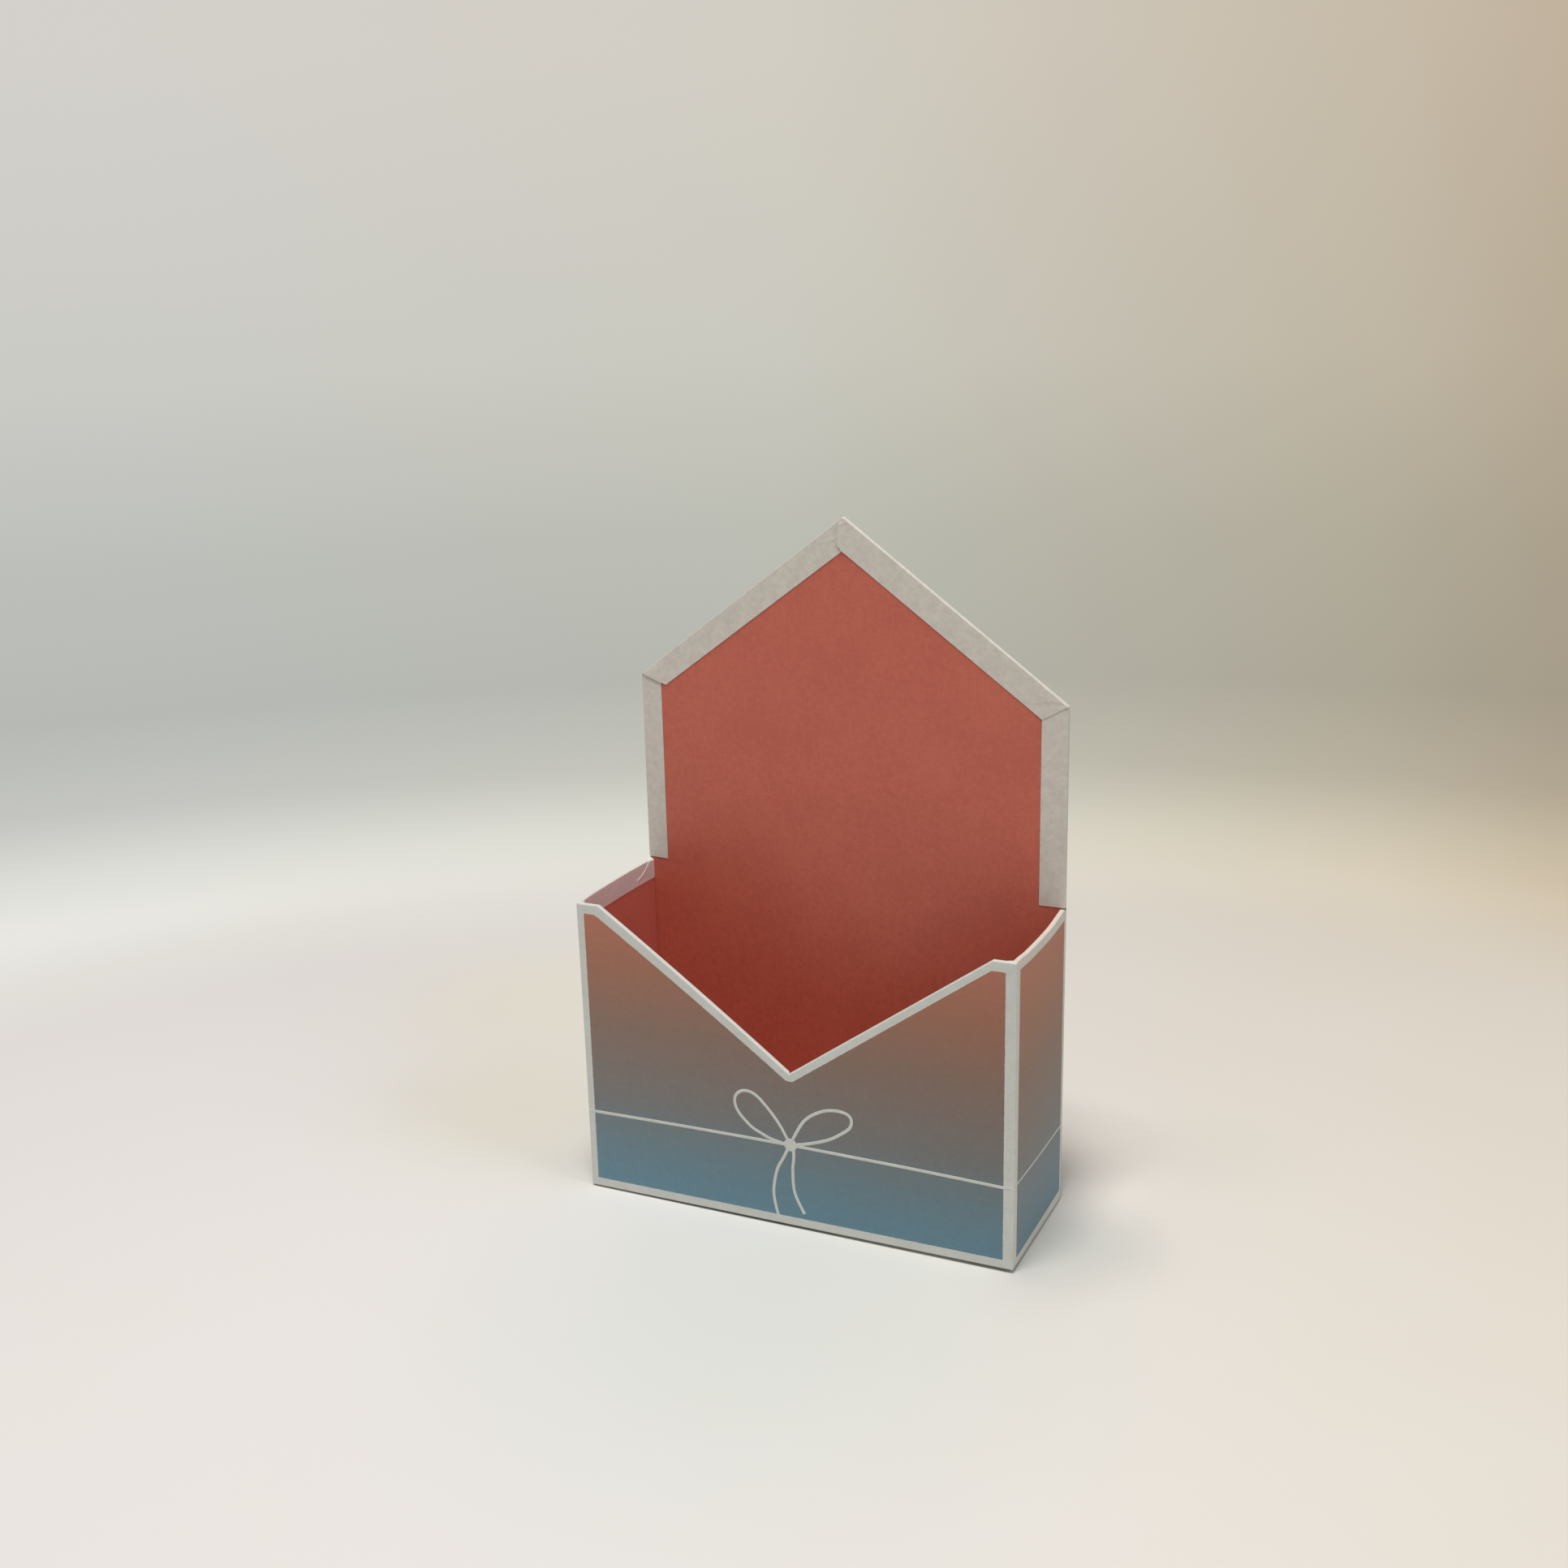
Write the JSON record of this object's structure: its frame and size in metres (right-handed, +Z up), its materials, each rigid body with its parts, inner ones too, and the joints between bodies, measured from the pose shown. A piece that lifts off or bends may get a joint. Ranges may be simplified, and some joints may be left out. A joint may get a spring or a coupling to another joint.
{
  "type": "flower gift box",
  "caption": "Rigid envelope-shaped paperboard gift box: open pocket with a V-cut front and a tall gabled back, wrapped in printed paper and lined in red.",
  "frame": {"origin": "centre of the underside, on the surface the box stands on", "axes": "+Z up; the V-cut front faces -Y and the tall gabled back is at +Y; +X is the right-hand side as seen from the front"},
  "size_m": [0.222, 0.075, 0.329],
  "materials": {
    "greyboard": "raw grey chipboard, matt",
    "red_paper": "dyed coral-red lining paper, matt with a fine grain",
    "kraft_tape": "gummed kraft paper tape, matt",
    "printed_paper": "white wrapping paper printed with a terracotta-to-blue blend, white borders and a line-drawn bow, satin",
    "white_paper": "plain white paper, matt"
  },
  "bodies": {
    "root": {"front_board": "greyboard", "back_board": "greyboard", "left_side_board": "greyboard", "right_side_board": "greyboard", "base_board": "greyboard", "front_lining": "red_paper", "back_lining": "red_paper", "left_side_lining": "red_paper", "right_side_lining": "red_paper", "base_lining": "red_paper", "corner_stay_front_left": "kraft_tape", "corner_stay_front_right": "kraft_tape", "corner_stay_back_left": "kraft_tape", "corner_stay_back_right": "kraft_tape", "printed_wrap": "printed_paper", "back_wrap": "printed_paper", "base_sheet": "white_paper"}
  },
  "joints": []
}
